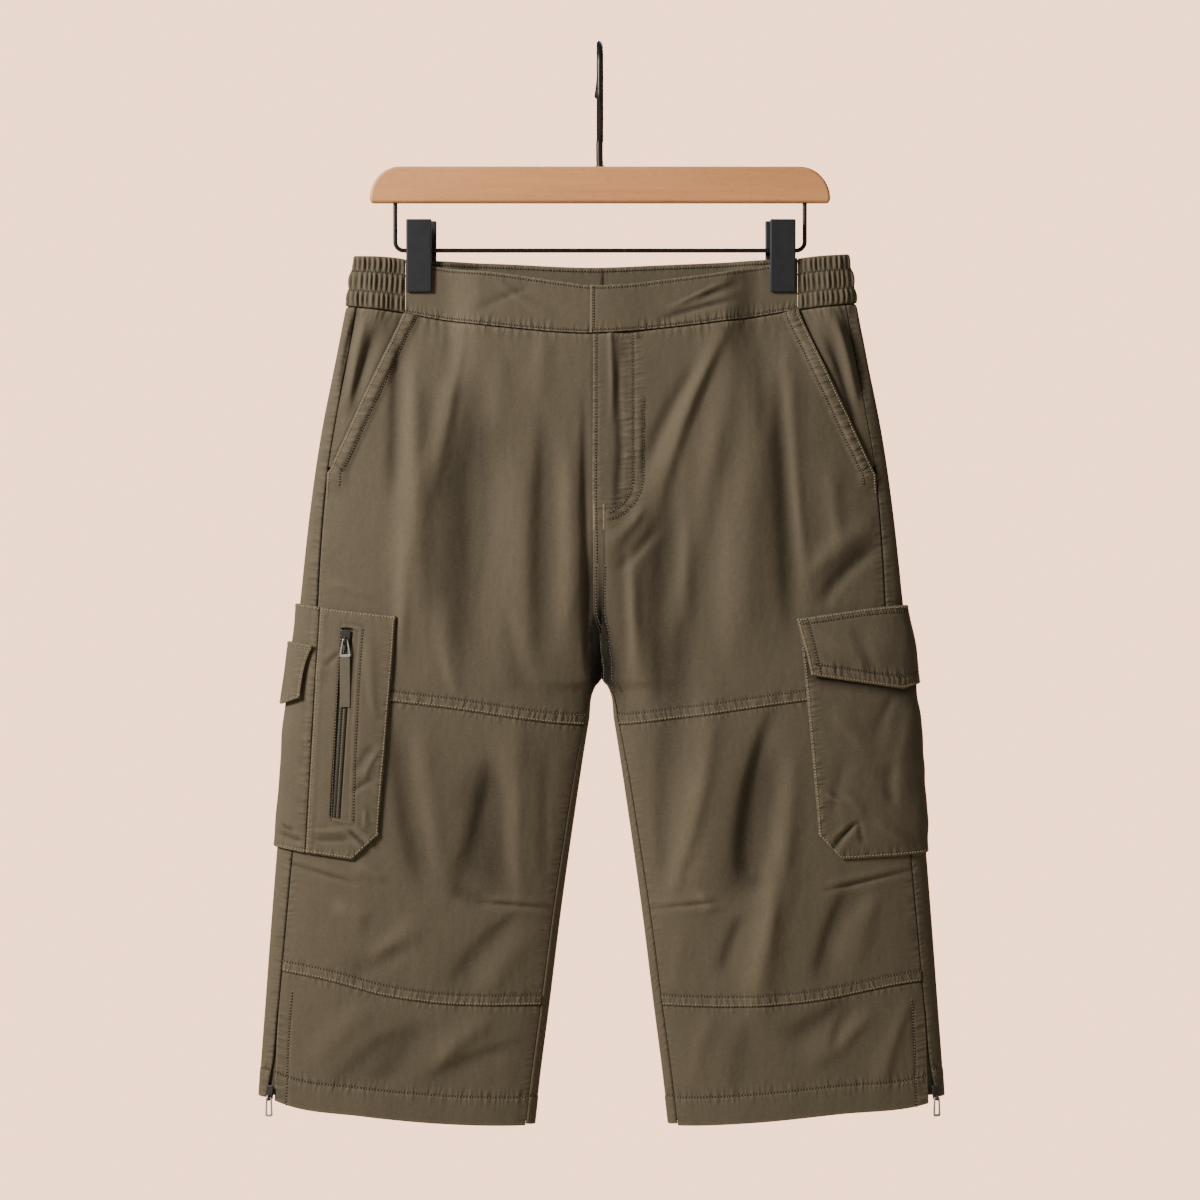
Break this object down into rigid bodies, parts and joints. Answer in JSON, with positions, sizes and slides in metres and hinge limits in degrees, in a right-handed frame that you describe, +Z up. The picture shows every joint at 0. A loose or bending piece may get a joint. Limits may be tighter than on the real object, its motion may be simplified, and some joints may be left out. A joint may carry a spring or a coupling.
{
  "type": "cargo shorts on a clip hanger",
  "caption": "Three-quarter cargo shorts with a shirred waist, zip and flap thigh pockets and ankle zips, hung from a wooden clip hanger.",
  "frame": {"origin": "inner top of the hook, where it sits on a rail", "axes": "+Z up, -Y out of the front of the shorts, +X to the right seen from the front"},
  "size_m": [0.5826, 0.0571, 0.9206],
  "materials": {
    "twill": "matt olive-taupe cotton twill with tonal stitching",
    "zip_tape": "woven zip tape with fine dark teeth",
    "zip_metal": "dull silver zip metal",
    "puller": "bare olive strip with turned edges",
    "beech": "smooth lacquered beech",
    "black_metal": "black painted wire",
    "charcoal_clip": "matt charcoal"
  },
  "bodies": {
    "root": {"front_upper_left": "twill", "front_upper_right": "twill", "front_knee_left": "twill", "front_knee_right": "twill", "front_lower_left": "twill", "front_lower_right": "twill", "back_leg_upper_left": "twill", "back_leg_upper_right": "twill", "back_leg_lower_left": "twill", "back_leg_lower_right": "twill", "pocket_bearer_left": "twill", "pocket_bearer_right": "twill", "waistband_front_left": "twill", "waistband_front_right": "twill", "waistband_side_left": "twill", "waistband_side_right": "twill", "waistband_back": "twill", "cargo_zip_pocket_front": "twill", "cargo_zip_pocket_side": "twill", "cargo_side_flap": "twill", "cargo_flap_pocket": "twill", "cargo_flap": "twill", "cargo_zip_tape": "zip_tape", "ankle_zip_tape_left": "zip_tape", "ankle_zip_tape_right": "zip_tape", "cargo_zip_slider": "zip_metal", "ankle_zip_left_slider": "zip_metal", "ankle_zip_right_slider": "zip_metal", "hanger_bar": "beech", "hanger_hook": "black_metal", "hanger_wire": "black_metal", "clip_spring_left": "black_metal", "clip_spring_right": "black_metal", "clip_front_left": "charcoal_clip", "clip_front_right": "charcoal_clip", "clip_back_left": "charcoal_clip", "clip_back_right": "charcoal_clip"},
    "cargo_pull": {"cargo_zip_pull": "zip_metal", "cargo_zip_puller": "puller"},
    "ankle_pull_left": {"ankle_zip_left_pull": "zip_metal"},
    "ankle_pull_right": {"ankle_zip_right_pull": "zip_metal"}
  },
  "joints": [
    {"name": "cargo_pull_swing", "type": "hinge", "parent": "root", "child": "cargo_pull", "pos_m": [-0.21484, -0.02368, -0.503], "axis": [-0.9915, 0.1298, 0], "range_deg": [0, 160]},
    {"name": "ankle_pull_left_swing", "type": "hinge", "parent": "root", "child": "ankle_pull_left", "pos_m": [-0.28001, -0.01398, -0.8907], "axis": [-0.9495, 0.3137, 0], "range_deg": [0, 160]},
    {"name": "ankle_pull_right_swing", "type": "hinge", "parent": "root", "child": "ankle_pull_right", "pos_m": [0.28501, -0.01312, -0.8907], "axis": [-0.9341, -0.3571, 0], "range_deg": [0, 160]}
  ]
}
